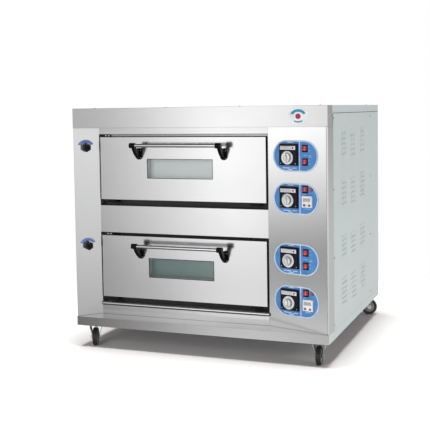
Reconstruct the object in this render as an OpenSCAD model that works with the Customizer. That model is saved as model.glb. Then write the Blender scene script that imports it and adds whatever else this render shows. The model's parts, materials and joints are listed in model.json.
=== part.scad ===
// Two-deck bakery oven on swivel casters, in millimetres.
// Origin: centre of the footprint on the floor. +Z up, the doors face -Y.

/* [Cabinet] */
// Overall width of the cabinet
width = 1250; // [1200:10:1300]
// Overall depth of the cabinet
depth = 1110; // [1050:10:1200]
// Height from the floor to the underside of the base
caster_height = 105; // [105:1:112]
// Thickness of the cabinet sheets
sheet = 1.5; // [1:0.5:2]

/* [Doors] */
// Distance from the front edge of the base back to the door bay
bay_setback = 94; // [90:1:98]
// How far a door's outer face stands in front of the bay strips
door_proud = 8; // [6:1:9]
// Distance from the door's face out to the handle bar's centre
handle_offset = 72; // [64:1:73]
// Diameter of the handle bar
handle_diameter = 17; // [15:1:18]

/* [Controls] */
// Diameter of the temperature dials
dial_diameter = 60; // [50:1:62]
// Diameter of the damper knobs
knob_diameter = 44; // [44:1:54]

/* [Hidden] */
$fn = 48;

// Heights below are measured from the underside of the base.
base_height = 42;
body_height = 1045;
hood_bottom = 952;
hood_return = 87;
cover_flange = 35;
panel_front = 100;
panel_gap = 0.8;
back_recess = 26;

bay_left = 91;
bay_right = 949;
deck_pitch = 475;
upper_door_bottom = 605.5;
lower_door_bottom = upper_door_bottom - deck_pitch;
door_left = 99.5;
door_right = 941;
door_height = 300;
door_face = bay_setback - door_proud;
door_rear = door_face + 45;
flange_face = door_rear + 3;
flange_sheet = 2;

window_left = 348;
window_right = 682;
window_low = 104;
window_high = 196.5;
window_wall = 1;
pane = 4;

hinge_y = door_face + 11;
hinge_drop = 9;
hinge_pin_r = 4;
running_gap = 0.05;
knuckle_r = 6.5;
knuckle_length = 30;
ear_width = 7;
ear_gap = 0.5;
hinge_x = [155, 885];

handle_height = 263;
handle_left = 295;
handle_right = 752;
collar_length = 26;
collar_r = 12.5;
fin_width = 15;
fin_drop = 69;
bracket_flange = 6;
bracket_width = 35;
flange_top_drop = 14;

control_outer = 1245;
control_outer_y = 9;
control_run = control_outer - bay_right;
control_rise = bay_setback - control_outer_y;
control_angle = atan2(control_rise, control_run);
left_outer = 5;
left_outer_y = 8;
left_angle = atan2(bay_setback - left_outer_y, bay_left - left_outer);
column_low = base_height + 0.5;
column_high = hood_bottom - 0.5;

plate_heights = [822, 632, 361, 171];
plate_centre = 145.5;
plate_width = 232;
plate_height = 138;
plate_sheet = 0.8;
controller_centre = 112.8;
controller_rise = 5.8;
controller_size = 96;
controller_front = 8;
dial_centre = 109;
dial_drop = 7.4;
dial_bore_r = 3.05;
dial_bore_depth = 13;
switch_centre = 196.5;
lamp_centre = 226.7;
lamp_rise = 44;
timer_centre = 206.5;
timer_drop = 10.5;
timer_width = 53;
timer_height = 51;
timer_front = 6;
key_width = 11;
key_height = 8;
key_gap = 0.2;
key_depth = 5;
key_proud = 1.2;
key_length = 4.2;
key_offsets = [-13, 13];
key_drop = 15;

// Switches as [plate number, height above the plate's centre]
switches = [[0, 34], [0, -25.5], [1, 43.5], [2, 34], [2, -25.5], [3, 43.5]];
frame_width = 28;
frame_height = 32;
frame_front = 2.5;
cavity_width = 21.6;
cavity_height = 25.4;
rocker_width = 21;
rocker_half = 11;
rocker_front = 9.3;
rocker_valley = 7.4;
rocker_back = 2;
rocker_tilt = 7;
rocker_axis_depth = 3;
rocker_pin_r = 1.5;

knob_heights = [858, 383];
knob_centre = 53;
spindle_r = 4;
spindle_length = 30;

chamber_left = 120;
chamber_right = 920;
chamber_back = 1000;
chamber_low = 636;
chamber_high = 872;
liner_sheet = 2;
hearth_low = 662;
hearth_thickness = 18;
element_r = 4;
element_heights = [648, 860];
element_count = 5;
flange_low = 568;
flange_high = 918;

duct_left = 8;
duct_right = 56;
duct_low = 760;
duct_high = 830;
outlet_r = 20;
stub_r = 25;
stub_wall = 1.5;
stub_centre = 34;
stub_start = depth - back_recess + sheet + 0.5;
stub_length = 22;

// Casters as [x, y, swivel angle at rest], in the corner frame
casters = [[62, 74, 22], [width - 60, 76, 6], [62, depth - 46, 12], [width - 72, depth - 46, 110]];
caster_plate_size = [92, 72, 3];
raceway_r = 30;
raceway_height = 6;
kingpin_r = 5;
kingpin_length = 12;
fork_gap = 30;
fork_sheet = 3;
trail = 28;
wheel_r = 43;
wheel_width = 24;
axle_r = 4;

steel = [0.80, 0.80, 0.81];
panel_paint = [0.76, 0.80, 0.79];
black = [0.05, 0.05, 0.055];
red = [0.75, 0.05, 0.06];
white = [0.9, 0.9, 0.9];
enamel = [0.1, 0.1, 0.11];
zinc = [0.62, 0.63, 0.65];

// Frames of reference ---------------------------------------------------

// X from the left side, Y back from the front edge, Z up from the base's underside
module corner_frame() {
    translate([-width / 2, -depth / 2, caster_height]) children();
}

// The slanted control face: X along the face, -Y out of it
module control_frame() {
    corner_frame() translate([bay_right, bay_setback, 0])
        rotate([0, 0, -control_angle]) children();
}

// The left column's face: X along the face, -Y out of it
module left_frame() {
    corner_frame() translate([left_outer, left_outer_y, 0])
        rotate([0, 0, left_angle]) children();
}

// A box given by its low and high corners
module box(low, high) {
    translate(low) cube(high - low);
}

// Cylinder along Y with its front end at y
module along_y(r, y, length) {
    translate([0, y, 0]) rotate([-90, 0, 0]) cylinder(r = r, h = length);
}

// Cylinder along X starting at x
module along_x(r, x, length) {
    translate([x, 0, 0]) rotate([0, 90, 0]) cylinder(r = r, h = length);
}

// Box centred on the face's XZ plane, from depth y0 to y1
module face_box(w, h, y0, y1) {
    box([-w / 2, y0, -h / 2], [w / 2, y1, h / 2]);
}

// Cabinet ----------------------------------------------------------------

channel_width = 150;
module base_frame() {
    color(steel) corner_frame() difference() {
        union() {
            box([0, 0, base_height - 2], [width, depth, base_height]);
            box([0, 0, 0], [width, 2, base_height]);
            box([0, depth - 2, 0], [width, depth, base_height]);
            box([0, 0, 0], [2, depth, base_height]);
            box([width - 2, 0, 0], [width, depth, base_height]);
            box([0, 0, 0], [width, 20, 2]);
            box([0, depth - 20, 0], [width, depth, 2]);
            for (x = [0, width - channel_width]) {
                box([x, 0, 0], [x + channel_width, depth, 3]);
                box([x, 0, 0], [x + 2, depth, base_height]);
                box([x + channel_width - 2, 0, 0], [x + channel_width, depth, base_height]);
            }
        }
        for (x = [width * 0.3, width * 0.5, width * 0.7])
            for (y = [depth * 0.35, depth * 0.5, depth * 0.65])
                translate([x, y, 0]) slot_cut(70, 8, base_height + 1);
    }
}

// Rounded slot cut running along X
module slot_cut(length, wide, height) {
    translate([-length / 2, -wide / 2, 0]) cube([length, wide, height]);
    for (side = [-1, 1])
        translate([side * length / 2, 0, 0]) cylinder(d = wide, h = height, $fn = 24);
}

module hood() {
    color(steel) corner_frame() {
        box([0, 0, hood_bottom], [width, sheet, body_height]);
        box([0, 0, hood_bottom], [width, bay_setback + 2, hood_bottom + sheet]);
        box([0, 0, body_height - sheet], [width, hood_return, body_height]);
        box([0, 0, hood_bottom], [sheet, hood_return, body_height]);
        box([width - sheet, 0, hood_bottom], [width, hood_return, body_height]);
    }
}

module top_cover() {
    y0 = hood_return + panel_gap;
    low = body_height - cover_flange;
    color(panel_paint) corner_frame() {
        box([0, y0, body_height - sheet], [width, depth, body_height]);
        box([0, y0, low], [sheet, depth, body_height]);
        box([width - sheet, y0, low], [width, depth, body_height]);
        box([0, depth - sheet, low], [width, depth, body_height]);
        // strip of the side that fills in below the hood's return
        for (x = [0, width - sheet])
            box([x, hood_return + panel_gap, low - 2], [x + sheet, panel_front, low]);
    }
}

// Louvre groups as [height of the top row, number of rows]
louvre_groups = [[930, 6], [702, 6], [440, 5], [240, 6]];
louvre_columns = [0.27, 0.44, 0.63];
louvre_pitch = 23;
louvre_length = 88;
louvre_proud = 4;

// One pressed louvre at the origin, outwards along +X, open downwards
module louvre_lip() {
    translate([0, -louvre_length / 2, 0]) rotate([90, 0, 0]) mirror([0, 0, 1])
        linear_extrude(louvre_length)
            polygon([[0, 7.5], [2.6, 5], [louvre_proud, 0], [louvre_proud - 1, 0], [2, 3.8], [0, 6]]);
    for (y = [-louvre_length / 2, louvre_length / 2 - 1.2])
        translate([0, y, 0]) rotate([90, 0, 0]) mirror([0, 0, 1]) linear_extrude(1.2)
            polygon([[0, 7.5], [2.6, 5], [louvre_proud, 0], [0, 0]]);
}

module louvre_places() {
    for (column = [0:2])
        for (group = louvre_groups)
            for (row = [0:group[1] - 1])
                translate([0, depth * louvre_columns[column],
                    group[0] - row * louvre_pitch - (column == 1 ? louvre_pitch / 2 : 0)])
                    children();
}

// Side panel standing on the plane x = 0 with its outside towards +X
rear_hem = 7;
module side_panel() {
    difference() {
        union() {
            box([-sheet, panel_front, column_low], [0, depth, body_height - cover_flange - panel_gap]);
            box([-rear_hem, depth - sheet, column_low],
                [0, depth, body_height - cover_flange - panel_gap]);
            box([-14, panel_front, column_low],
                [0, panel_front + sheet, body_height - cover_flange - 3]);
        }
        louvre_places() translate([-sheet - 1, -louvre_length / 2 + 1.2, 0])
            cube([sheet + 2, louvre_length - 2.4, 5]);
        panel_screw_places() translate([-3, 0, 0]) rotate([0, 90, 0]) cylinder(r = 2.6, h = 6);
    }
    louvre_places() louvre_lip();
}

module panel_screw_places() {
    for (z = [988, 672, 366, 64])
        for (y = [panel_front + 6.5, depth * 0.81])
            translate([0, y, z]) children();
}

module right_side_panel() {
    color(panel_paint) corner_frame() translate([width, 0, 0]) side_panel();
}

module left_side_panel() {
    color(panel_paint) corner_frame() mirror([1, 0, 0]) side_panel();
}

// Rear vent slots, outlet holes and the cable entry
gland_x = 1090;
gland_z = 150;
gland_hole_r = 12.6;
module back_panel() {
    y = depth - back_recess;
    color(panel_paint) corner_frame() difference() {
        union() {
            box([sheet + 0.3, y, column_low],
                [width - sheet - 0.3, y + sheet, body_height - sheet - 0.5]);
            for (x = [sheet + 0.3, width - 2 * sheet - 0.3])
                box([x, y - 20, column_low], [x + sheet, y, body_height - cover_flange - 4]);
        }
        for (deck = [0, deck_pitch])
            translate([stub_centre, y - 5, (duct_low + duct_high) / 2 - deck])
                along_y(stub_r - 0.6, 0, 12);
        translate([gland_x, 0, gland_z]) along_y(gland_hole_r, y - 5, 12);
        for (row = [0:7])
            for (x = [1040, 1110, 1180])
                translate([x, y + 5, 560 + row * 24]) rotate([90, 0, 0]) slot_cut(42, 6, 12);
    }
}

// Folded sheet with its outline in plan, in the corner frame
module folded_column(outline) {
    corner_frame() translate([0, 0, column_low])
        linear_extrude(column_high - column_low) polygon(outline);
}

column_front = 5;
column_side_end = panel_front - panel_gap;
column_back = flange_face - 0.3;

module left_column() {
    slope = (bay_setback - left_outer_y) / (bay_left - left_outer);
    start = left_outer + (column_front - left_outer_y) / slope;
    fold = sheet * (sqrt(1 + slope * slope) - slope);
    color(steel) difference() {
        folded_column([[0, column_side_end], [0, column_front], [start, column_front],
            [bay_left, bay_setback], [bay_left, column_back], [bay_left - sheet, column_back],
            [bay_left - sheet, bay_setback + fold], [sheet, column_front + sheet * 1.08],
            [sheet, column_side_end]]);
        for (z = knob_heights)
            left_frame() translate([knob_centre, 0, z]) along_y(spindle_r + running_gap, -3, 8);
    }
}

// The slanted face ends in a narrow groove beside the corner post
groove_left = 1240;
groove_right = 1244;
groove_y = 18;
module control_column() {
    slope = control_rise / control_run;
    inward = sheet * sqrt(1 + slope * slope);
    face_end = bay_setback - (groove_left - bay_right) * slope;
    color(steel) difference() {
        folded_column([[bay_right, column_back], [bay_right, bay_setback],
            [groove_left, face_end], [groove_left, groove_y], [groove_right, groove_y],
            [groove_right, column_front], [width, column_front], [width, column_side_end],
            [width - sheet, column_side_end], [width - sheet, column_front + sheet],
            [groove_right + sheet, column_front + sheet], [groove_right + sheet, groove_y + sheet],
            [groove_left - sheet, groove_y + sheet],
            [groove_left - sheet, face_end + sheet * slope + inward],
            [bay_right + sheet, bay_setback - sheet * slope + inward],
            [bay_right + sheet, column_back]]);
        control_cuts(1, 4);
    }
}

// Openings for the controls through the column and the printed plates
module control_cuts(clear, deep) {
    for (i = [0:3])
        control_frame() translate([controller_centre, 0, plate_heights[i] + controller_rise])
            face_box(90 + clear, 90 + clear, -deep, deep);
    for (i = [0:5])
        at_switch(i) face_box(26 + clear / 2, 30 + clear / 2, -deep, deep);
    for (i = [1, 3]) {
        at_timer(i) face_box(45 + clear, 45 + clear, -deep, deep);
        at_lamp(i) along_y(5.2, -deep, 2 * deep);
    }
}

module at_switch(i) {
    control_frame() translate([switch_centre, 0, plate_heights[switches[i][0]] + switches[i][1]])
        children();
}

module at_timer(i) {
    control_frame() translate([timer_centre, 0, plate_heights[i] - timer_drop]) children();
}

module at_lamp(i) {
    control_frame() translate([lamp_centre, 0, plate_heights[i] + lamp_rise]) children();
}

module at_dial(i) {
    control_frame() translate([dial_centre, 0, plate_heights[i] - dial_drop]) children();
}

// Door bay strips --------------------------------------------------------

module bay_header() {
    color(steel) corner_frame() {
        box([bay_left + 0.3, bay_setback, 910], [bay_right - 0.3, bay_setback + sheet, hood_bottom - 0.5]);
        box([bay_left + 0.3, bay_setback, 910], [bay_right - 0.3, flange_face - 0.3, 910 + sheet]);
        translate([0, bay_setback, 916.5]) along_x(3.5, bay_left + 0.3, bay_right - bay_left - 0.6);
    }
}

module mid_panel() {
    color(steel) corner_frame() {
        box([bay_left + 0.3, bay_setback, 444], [bay_right - 0.3, bay_setback + sheet, 575]);
        box([bay_left + 0.3, bay_setback, 444], [bay_right - 0.3, flange_face - 0.3, 444 + sheet]);
        box([bay_left + 0.3, bay_setback, 575 - sheet], [bay_right - 0.3, flange_face - 0.3, 575]);
    }
}

// Sill with a rolled lip under the lower door
lip_r = 10;
module sill_panel() {
    color(steel) corner_frame() {
        box([bay_left + 0.3, bay_setback, column_low], [bay_right - 0.3, bay_setback + sheet, 86]);
        box([bay_left + 0.3, bay_setback - 1.5, 64], [bay_right - 0.3, bay_setback, 82]);
        translate([0, bay_setback + lip_r - 8, 94.5]) difference() {
            along_x(lip_r, bay_left + 0.3, bay_right - bay_left - 0.6);
            along_x(lip_r - sheet, bay_left - 1, bay_right - bay_left + 2);
            box([0, lip_r - 4, -lip_r - 1], [width, lip_r + 1, lip_r + 1]);
        }
        box([bay_left + 0.3, bay_setback + 4, 104.5 - sheet],
            [bay_right - 0.3, flange_face - 0.3, 104.5]);
    }
}

// Chambers ---------------------------------------------------------------

module chamber_liner() {
    difference() {
        union() {
            box([chamber_left - liner_sheet, flange_face, chamber_low - liner_sheet],
                [chamber_right + liner_sheet, chamber_back + liner_sheet, chamber_high + liner_sheet]);
            box([bay_left + sheet + 0.3, flange_face, flange_low],
                [bay_right - sheet - 0.3, flange_face + flange_sheet, flange_high]);
        }
        box([chamber_left, flange_face - 1, chamber_low], [chamber_right, chamber_back, chamber_high]);
        element_places() along_x(element_r + 0.4, chamber_right - 5, 12);
        translate([0, chamber_back - 110, (duct_low + duct_high) / 2])
            along_x(outlet_r, chamber_left - 5, 10);
        for (x = [chamber_left + 60, chamber_right - 60])
            for (z = [flange_low + 12, flange_high - 12])
                translate([x, 0, z]) along_y(2.6, flange_face - 1, 4);
    }
    // ledges that carry the hearth
    for (x = [chamber_left, chamber_right - 12])
        box([x, flange_face + 12, hearth_low - 3], [x + 12, chamber_back, hearth_low]);
}

module chamber_liners() {
    color(enamel) corner_frame()
        for (deck = [0, deck_pitch]) translate([0, 0, -deck]) chamber_liner();
}

module hearth_stones() {
    color([0.55, 0.5, 0.45]) corner_frame()
        for (deck = [0, deck_pitch]) translate([0, 0, -deck])
            box([chamber_left + 4, flange_face + 14, hearth_low],
                [chamber_right - 4, chamber_back - 4, hearth_low + hearth_thickness]);
}

module element_places() {
    for (z = element_heights)
        for (i = [0:element_count - 1])
            translate([0, flange_face + 110 + i * 160, z]) children();
}

module heating_elements() {
    color([0.3, 0.28, 0.27]) corner_frame()
        for (deck = [0, deck_pitch]) translate([0, 0, -deck]) element_places() {
            along_x(element_r, chamber_left + 12, chamber_right - chamber_left + 40);
            translate([chamber_right + 52, 0, 0]) along_x(1.6, -1, 15);
        }
}

module insulation() {
    color([0.85, 0.8, 0.6]) corner_frame() difference() {
        union() {
            for (deck = [0, deck_pitch]) translate([0, 0, -deck]) {
                box([chamber_left - 56, flange_face + 8, chamber_low - 2],
                    [chamber_left - 2.5, chamber_back + 2, chamber_high + 2]);
                box([chamber_right + 2.5, flange_face + 8, chamber_low - 2],
                    [chamber_right + 32, chamber_back + 2, chamber_high + 2]);
                box([chamber_left - 56, chamber_back + 2.5, chamber_low - 2],
                    [chamber_right + 32, chamber_back + 60, chamber_high + 2]);
                box([chamber_left - 56, flange_face + 8, chamber_high + 2.5],
                    [chamber_right + 32, chamber_back + 60, chamber_high + 66]);
                box([chamber_left - 56, flange_face + 8, chamber_low - 66],
                    [chamber_right + 32, chamber_back + 60, chamber_low - 2.5]);
            }
        }
        for (deck = [0, deck_pitch]) translate([0, 0, -deck]) {
            element_places() along_x(element_r + 0.6, chamber_right, 40);
            translate([0, chamber_back - 110, (duct_low + duct_high) / 2])
                along_x(outlet_r + 2.5, chamber_left - 60, 62);
        }
    }
}

module vent_ducts() {
    middle = (duct_low + duct_high) / 2;
    color(zinc) corner_frame()
        for (deck = [0, deck_pitch]) translate([0, 0, -deck]) difference() {
            union() {
                box([duct_left, 140, duct_low], [duct_right, 1060, duct_high]);
                translate([0, chamber_back - 110, middle])
                    along_x(outlet_r + 2, duct_right - 1, chamber_left - liner_sheet - duct_right + 0.8);
                translate([stub_centre, 0, middle]) {
                    along_y(stub_r - 1, 1058, stub_start - 1058);
                    along_y(stub_r, stub_start, stub_length);
                }
            }
            box([duct_left + 1.2, 139, duct_low + 1.2], [duct_right - 1.2, 1058.8, duct_high - 1.2]);
            translate([0, chamber_back - 110, middle])
                along_x(outlet_r, duct_right - 4, 80);
            translate([stub_centre, 0, middle]) along_y(stub_r - 1 - stub_wall, 1050, 80);
        }
}

// Doors ------------------------------------------------------------------

module door_frame(bottom) {
    corner_frame() translate([0, 0, bottom]) children();
}

module window_cut(grow, y0, y1) {
    box([window_left - grow, y0, window_low - grow], [window_right + grow, y1, window_high + grow]);
}

module door_skin(bottom) {
    color(steel) door_frame(bottom) difference() {
        box([door_left, door_face, 0], [door_right, door_rear - sheet - 0.2, door_height]);
        box([door_left + sheet, door_face + sheet, sheet],
            [door_right - sheet, door_rear + 1, door_height - sheet]);
        window_cut(0, door_face - 1, door_face + 3);
    }
}

module door_liner(bottom) {
    color(steel) door_frame(bottom) {
        difference() {
            union() {
                box([door_left + 0.5, door_rear - sheet, 0.5],
                    [door_right - 0.5, door_rear, door_height - 0.5]);
                window_cut(window_wall + 1, door_face + 6.5, door_rear);
            }
            window_cut(1, door_face - 1, door_rear + 1);
        }
        for (x = hinge_x) difference() {
            union() {
                translate([x, hinge_y, -hinge_drop])
                    along_x(knuckle_r, -knuckle_length / 2, knuckle_length);
                box([x - knuckle_length / 2, hinge_y - 5, -hinge_drop],
                    [x + knuckle_length / 2, hinge_y + 5, -0.3]);
                box([x - knuckle_length / 2, hinge_y, -3.3],
                    [x + knuckle_length / 2, door_rear, -0.3]);
                box([x - knuckle_length / 2, door_rear - sheet, -3.3],
                    [x + knuckle_length / 2, door_rear, 2]);
            }
            translate([x, hinge_y, -hinge_drop])
                along_x(hinge_pin_r + running_gap, -knuckle_length, 2 * knuckle_length);
        }
    }
}

module door_glass(bottom) {
    grow = 7;
    color([0.7, 0.82, 0.78, 0.5]) door_frame(bottom) {
        window_cut(grow, door_face + sheet + 0.3, door_face + sheet + 0.3 + pane);
        window_cut(0.6, door_rear - sheet - pane - 1, door_rear - sheet - 1);
    }
}

module handle_bar(bottom) {
    color([0.85, 0.85, 0.87]) door_frame(bottom)
        translate([0, door_face - handle_offset, handle_height])
            along_x(handle_diameter / 2, handle_left + 6, handle_right - handle_left - 12);
}

// Side outline of the bracket's fin: distance ahead of the door, height above the bar
module fin_outline() {
    intersection() {
        translate([-54, 60]) circle(r = 141.5);
        polygon([[1, -17], [16, -23], [40, -15], [58, 1], [66, 10], [72, 11.5], [80, 8], [84, 0],
            [84, -fin_drop], [1, -fin_drop]]);
    }
}

// Front outline of the bracket's flange: straight sides with round ends
module bracket_flange_outline() {
    reach = (fin_drop - flange_top_drop) / 2 - bracket_width / 2;
    for (rise = [-reach, reach]) translate([0, rise]) circle(r = bracket_width / 2);
    square([bracket_width, 2 * reach], center = true);
}

// Collar round the bar's end, a fin below it and a flange screwed to the door
module handle_brackets(bottom) {
    flange_middle = handle_height - (flange_top_drop + fin_drop) / 2;
    color(black) door_frame(bottom)
        for (x0 = [handle_left, handle_right - collar_length]) difference() {
            xm = x0 + collar_length / 2;
            union() {
                translate([0, door_face - handle_offset, handle_height])
                    along_x(collar_r, x0, collar_length);
                translate([xm - fin_width / 2, door_face, handle_height])
                    rotate([90, 0, 90]) linear_extrude(fin_width) mirror([1, 0]) fin_outline();
                translate([xm, door_face, flange_middle])
                    rotate([90, 0, 0]) linear_extrude(bracket_flange)
                        bracket_flange_outline();
            }
            translate([0, door_face - handle_offset, handle_height])
                along_x(handle_diameter / 2, handle_left + 6, handle_right - handle_left - 12);
        }
}

// Fixed ears and pin on each side of every knuckle
module hinge_brackets() {
    near = knuckle_length / 2 + ear_gap;
    far = near + ear_width;
    color(zinc) corner_frame()
        for (bottom = [upper_door_bottom, lower_door_bottom])
            for (x = hinge_x) translate([x, 0, bottom - hinge_drop]) {
                translate([0, hinge_y, 0]) along_x(hinge_pin_r, -far, 2 * far);
                for (low = [-far, near]) {
                    translate([0, hinge_y, 0]) along_x(6, low, ear_width);
                    box([low, hinge_y, -6], [low + ear_width, flange_face - 2, 6]);
                }
                box([-far, flange_face - 2, -8], [far, flange_face, 8]);
            }
}

// Controls ---------------------------------------------------------------

module control_plates() {
    r = plate_height / 2;
    reach = plate_width / 2 - r;
    color([0.15, 0.4, 0.8]) difference() {
        for (z = plate_heights)
            control_frame() translate([plate_centre, 0, z]) {
                for (side = [-1, 1])
                    translate([side * reach, 0, 0]) rotate([90, 0, 0])
                        cylinder(r = r, h = plate_sheet, $fn = 96);
                face_box(2 * reach, plate_height, -plate_sheet, 0);
            }
        control_cuts(1, 4);
    }
}

module controllers() {
    front = -plate_sheet - controller_front;
    color(black) for (i = [0:3]) difference() {
        control_frame() translate([controller_centre, 0, plate_heights[i] + controller_rise]) {
            face_box(controller_size, controller_size, front + 2, -plate_sheet);
            face_box(controller_size - 3, controller_size - 3, front, front + 3);
            face_box(90, 90, -plate_sheet - 1, 74);
            for (x = [-39, 39]) translate([x, 0, -39]) along_y(2.6, front - 1.2, 2);
        }
        control_frame() translate([controller_centre - 2.5, 0, plate_heights[i] + 36])
            face_box(81.5, 18, front - 1, front + 0.8);
        at_dial(i) along_y(dial_bore_r, front - 1, dial_bore_depth + 1);
    }
}

module dial(i) {
    front = -plate_sheet - controller_front;
    color(white) at_dial(i) {
        along_y(dial_bore_r - running_gap, front - 1.2, dial_bore_depth - 1);
        along_y(dial_diameter / 2 - 1, front - 2.9, 2.4);
        along_y(dial_diameter / 2, front - 2.2, 1.7);
        difference() {
            translate([0, front - 2.5, 0]) rotate([90, 0, 0])
                cylinder(r1 = 21, r2 = 18.5, h = 10.5);
            along_y(14, front - 14, 2.6);
        }
        face_box(5, 34, front - 14.6, front - 8);
    }
}

module rocker_frames() {
    front = -plate_sheet - frame_front;
    color(black) for (i = [0:5]) at_switch(i) difference() {
        union() {
            face_box(frame_width, frame_height, front + 0.8, -plate_sheet);
            face_box(frame_width - 1.6, frame_height - 1.6, front, front + 1);
            face_box(26, 30, -plate_sheet - 0.5, 24);
        }
        face_box(cavity_width, cavity_height, front - 1, rocker_axis_depth + 6);
        translate([0, rocker_axis_depth - plate_sheet, 0])
            along_x(rocker_pin_r + running_gap, -12.5, 25);
    }
}

module rocker(i) {
    color(red) at_switch(i) translate([0, rocker_axis_depth - plate_sheet, 0])
        rotate([-rocker_tilt, 0, 0]) {
            rotate([90, 0, 90]) translate([0, 0, -rocker_width / 2]) linear_extrude(rocker_width)
                polygon([[rocker_back, -rocker_half], [rocker_back, rocker_half],
                    [-rocker_front, rocker_half], [-rocker_valley, 0],
                    [-rocker_front, -rocker_half]]);
            along_x(rocker_pin_r, -12.3, 24.6);
        }
}

module pilot_lamps() {
    color([0.9, 0.35, 0.1]) for (i = [1, 3]) at_lamp(i) {
        along_y(5, -plate_sheet - 1, 22);
        along_y(7, -plate_sheet - 2, 2);
        along_y(5.2, -plate_sheet - 5, 4);
    }
}

module timers() {
    front = -plate_sheet - timer_front;
    color(white) for (i = [1, 3]) at_timer(i) difference() {
        union() {
            face_box(timer_width, timer_height, front + 1, -plate_sheet);
            face_box(timer_width - 2, timer_height - 2, front, front + 2);
            face_box(45, 45, -plate_sheet - 1, 60);
        }
        translate([0, 0, 9]) face_box(40, 17, front - 1, front + 1);
        for (x = key_offsets) translate([x, 0, -key_drop])
            face_box(key_width + 2 * key_gap, key_height + 2 * key_gap, front - 1, front + key_depth);
    }
}

module timer_button(i, side) {
    front = -plate_sheet - timer_front;
    color(black) at_timer(i) translate([key_offsets[side], 0, -key_drop])
        face_box(key_width, key_height, front - key_proud, front - key_proud + key_length);
}

module contactors() {
    color([0.25, 0.27, 0.3]) corner_frame() translate([1010, 300, 0]) {
        box([-50, 0, 240], [-48, 420, 275]);
        box([-46, 20, 215], [40, 65, 300]);
        box([-46, 75, 215], [40, 120, 300]);
        box([-46, 150, 235], [0, 330, 280]);
        box([-48, 10, 245], [-46, 410, 270]);
    }
}

module cable_gland() {
    y = depth - back_recess;
    color(black) corner_frame() translate([gland_x, 0, gland_z]) difference() {
        union() {
            along_y(12.5, y - 10, 20);
            translate([0, y + sheet, 0]) rotate([-90, 0, 0]) cylinder(r = 17, h = 8, $fn = 6);
            translate([0, y - 6, 0]) rotate([-90, 0, 0]) cylinder(r = 17, h = 6, $fn = 6);
            along_y(14, y + sheet + 8, 13);
        }
        along_y(8, y - 20, 60);
    }
}

module damper_knob(z) {
    color(black) left_frame() translate([knob_centre, 0, z]) {
        along_y(spindle_r, -8, 8 + spindle_length);
        along_y(knob_diameter / 2 - 3, -6, 5.5);
        translate([0, -23, 0]) rotate([-90, 30, 0])
            cylinder(r = knob_diameter / 2, h = 18, $fn = 6);
        translate([0, -27, 0]) rotate([-90, 30, 0])
            cylinder(r1 = knob_diameter / 2 - 3, r2 = knob_diameter / 2, h = 4.2, $fn = 6);
        along_y(knob_diameter / 2 - 8, -28, 24);
        along_y(11, spindle_length - 3, 3);
    }
}

// Casters ----------------------------------------------------------------

axle_drop = caster_height - wheel_r;
crown_top = -caster_plate_size[2] - raceway_height - 0.4;

module caster_plates() {
    color(zinc) corner_frame() for (c = casters) translate([c[0], c[1], 0]) {
        translate([-caster_plate_size[0] / 2, -caster_plate_size[1] / 2, -caster_plate_size[2]])
            cube(caster_plate_size);
        translate([0, 0, -caster_plate_size[2] - raceway_height])
            cylinder(r1 = raceway_r - 4, r2 = raceway_r, h = raceway_height);
        translate([0, 0, crown_top - kingpin_length]) cylinder(r = kingpin_r, h = kingpin_length + 1);
        translate([0, 0, crown_top - kingpin_length]) cylinder(r = 8, h = 4);
        for (x = [-36, 36]) for (y = [-26, 26])
            translate([x, y, -caster_plate_size[2] - 3]) cylinder(r = 5.5, h = 3.5, $fn = 24);
    }
}

// Pressed fork: its side outline crossed with its front outline, wide at the crown
module fork_shell() {
    low = -axle_drop - 13;
    inner = fork_gap / 2;
    outer = inner + fork_sheet;
    shoulder = raceway_r - fork_sheet;
    intersection() {
        rotate([90, 0, 90]) translate([0, 0, -40]) linear_extrude(80) {
            polygon([[-24, crown_top], [24, crown_top], [24, crown_top - 12],
                [-trail + 11.5, -axle_drop - 2], [-trail - 11.5, -axle_drop], [-27, crown_top - 20]]);
            translate([-trail, -axle_drop]) circle(r = 12);
        }
        rotate([90, 0, 0]) translate([0, 0, -40]) linear_extrude(120)
            polygon([[-raceway_r, crown_top], [raceway_r, crown_top], [raceway_r, crown_top - 12],
                [outer, -axle_drop + 10], [outer, low], [inner, low], [inner, -axle_drop + 10],
                [shoulder, crown_top - 12], [shoulder, crown_top - fork_sheet],
                [-shoulder, crown_top - fork_sheet], [-shoulder, crown_top - 12],
                [-inner, -axle_drop + 10], [-inner, low], [-outer, low],
                [-outer, -axle_drop + 10], [-raceway_r, crown_top - 12]]);
    }
}

module caster_fork(i) {
    c = casters[i];
    color(zinc) corner_frame() translate([c[0], c[1], 0]) rotate([0, 0, c[2]]) {
        difference() {
            fork_shell();
            translate([0, 0, crown_top - 10]) cylinder(r = kingpin_r + running_gap, h = 20);
        }
        translate([0, -trail, -axle_drop]) {
            along_x(axle_r, -fork_gap / 2 - fork_sheet - 3, fork_gap + 2 * fork_sheet + 6);
            for (x = [-fork_gap / 2 - fork_sheet - 3, fork_gap / 2 + fork_sheet])
                along_x(7, x, 3);
        }
    }
}

module caster_wheel(i) {
    c = casters[i];
    half = wheel_width / 2;
    color([0.25, 0.25, 0.26]) corner_frame() translate([c[0], c[1], 0]) rotate([0, 0, c[2]])
        translate([0, -trail, -axle_drop]) rotate([0, 90, 0]) rotate_extrude($fn = 72)
            polygon([[axle_r + running_gap, -half - 1], [10, -half - 1], [12, -half + 3],
                [29, -half + 3], [32, -half], [wheel_r - 4, -half], [wheel_r - 1, -half + 2],
                [wheel_r, -half + 6], [wheel_r, half - 6], [wheel_r - 1, half - 2],
                [wheel_r - 4, half], [32, half], [29, half - 3], [12, half - 3],
                [10, half + 1], [axle_r + running_gap, half + 1]]);
}

// Screws of the side panels and the top cover
module screws() {
    color(zinc) corner_frame() {
        translate([width, 0, 0]) panel_screw_places() rotate([0, 90, 0]) pan_screw();
        mirror([1, 0, 0]) panel_screw_places() rotate([0, 90, 0]) pan_screw();
    }
}

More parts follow.
